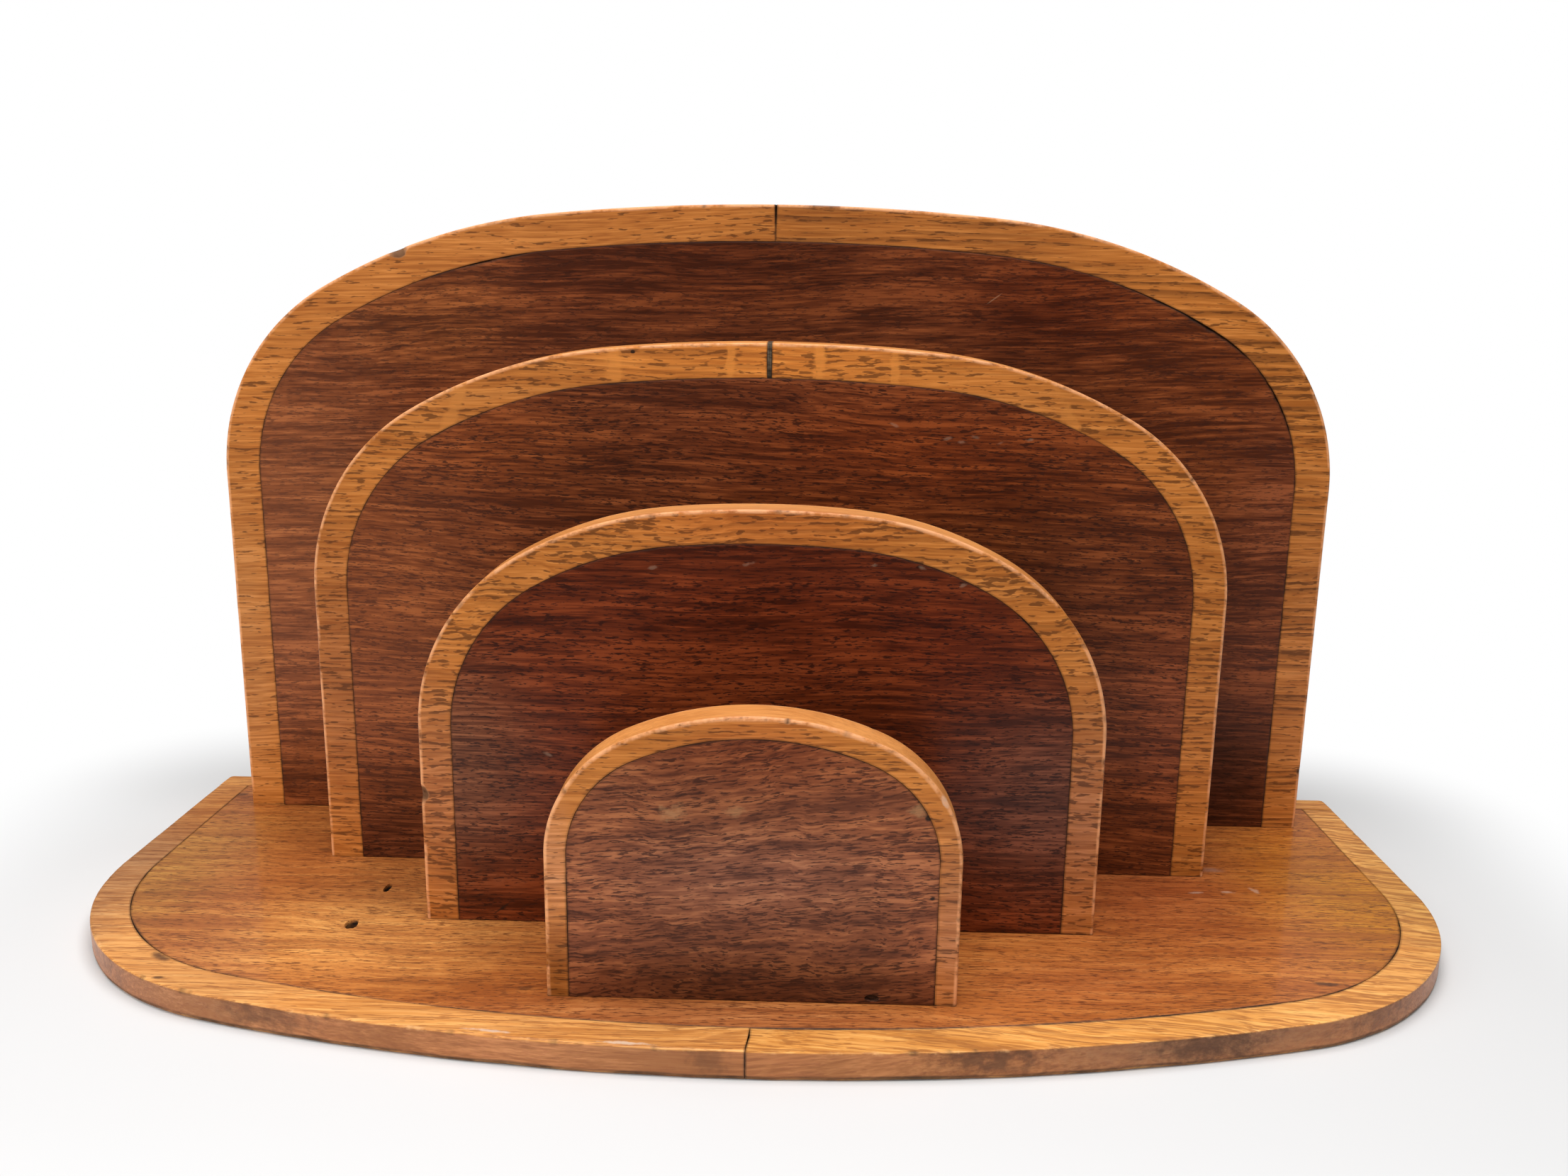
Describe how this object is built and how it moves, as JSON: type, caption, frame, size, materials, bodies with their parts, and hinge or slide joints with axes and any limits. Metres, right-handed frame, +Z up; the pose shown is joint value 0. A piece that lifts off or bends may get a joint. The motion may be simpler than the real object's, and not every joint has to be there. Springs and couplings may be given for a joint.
{
  "type": "document sorter",
  "caption": "Free-standing wooden letter rack: a flat bow-fronted base board carries stepped arched upright panels of dark wood edged with a pale band, with open slots for papers between them.",
  "frame": {"origin": "on the underside, at the middle of the base board's width and depth", "axes": "+X to the right of someone facing the rack, +Y to its rear, where the tallest panel stands, +Z up"},
  "size_m": [0.34, 0.146, 0.1792],
  "materials": {
    "mahogany": "satin varnish",
    "oak": "satin varnish",
    "dark_slip": "satin varnish",
    "screw_steel": "dulled"
  },
  "bodies": {
    "root": {"base_core": "mahogany", "base_band_left": "oak", "base_band_right": "oak", "base_band_rear": "oak", "rear_panel_core": "mahogany", "rear_panel_band_left": "oak", "rear_panel_band_right": "oak", "second_panel_core": "mahogany", "second_panel_band_left": "oak", "second_panel_band_right": "oak", "second_panel_joint_slip": "dark_slip", "third_panel_core": "mahogany", "third_panel_band": "oak", "front_panel_core": "mahogany", "front_panel_band": "oak", "panel_screws": "screw_steel"}
  },
  "joints": []
}
